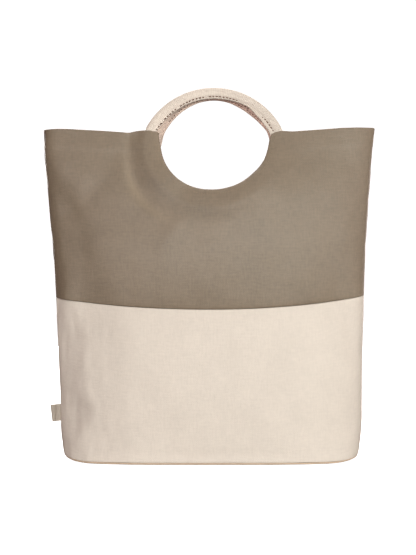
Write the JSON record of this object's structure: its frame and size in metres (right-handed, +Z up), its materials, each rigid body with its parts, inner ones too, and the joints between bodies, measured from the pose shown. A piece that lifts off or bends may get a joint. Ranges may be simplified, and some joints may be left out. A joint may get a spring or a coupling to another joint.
{
  "type": "shopper bag",
  "caption": "Canvas shopper bag in contrasting upper and lower panels, open at the top, with half-moon hand cut-outs, arched webbing handles, an oval base and a blank side tab.",
  "frame": {"origin": "on the floor under the middle of the bag's box", "axes": "+Z up, front face with the tab on its left towards -Y, +X to the viewer's right"},
  "size_m": [0.4291, 0.1124, 0.4807],
  "materials": {
    "dyed_canvas": "matte taupe canvas",
    "natural_canvas": "matte undyed canvas",
    "webbing": "ribbed undyed webbing",
    "ribbon": "plain woven ribbon"
  },
  "bodies": {
    "root": {"front_upper_panel": "dyed_canvas", "back_upper_panel": "dyed_canvas", "front_lower_panel": "natural_canvas", "back_lower_panel": "natural_canvas", "base_panel": "natural_canvas", "front_handle": "webbing", "back_handle": "webbing", "side_tab": "ribbon"}
  },
  "joints": []
}
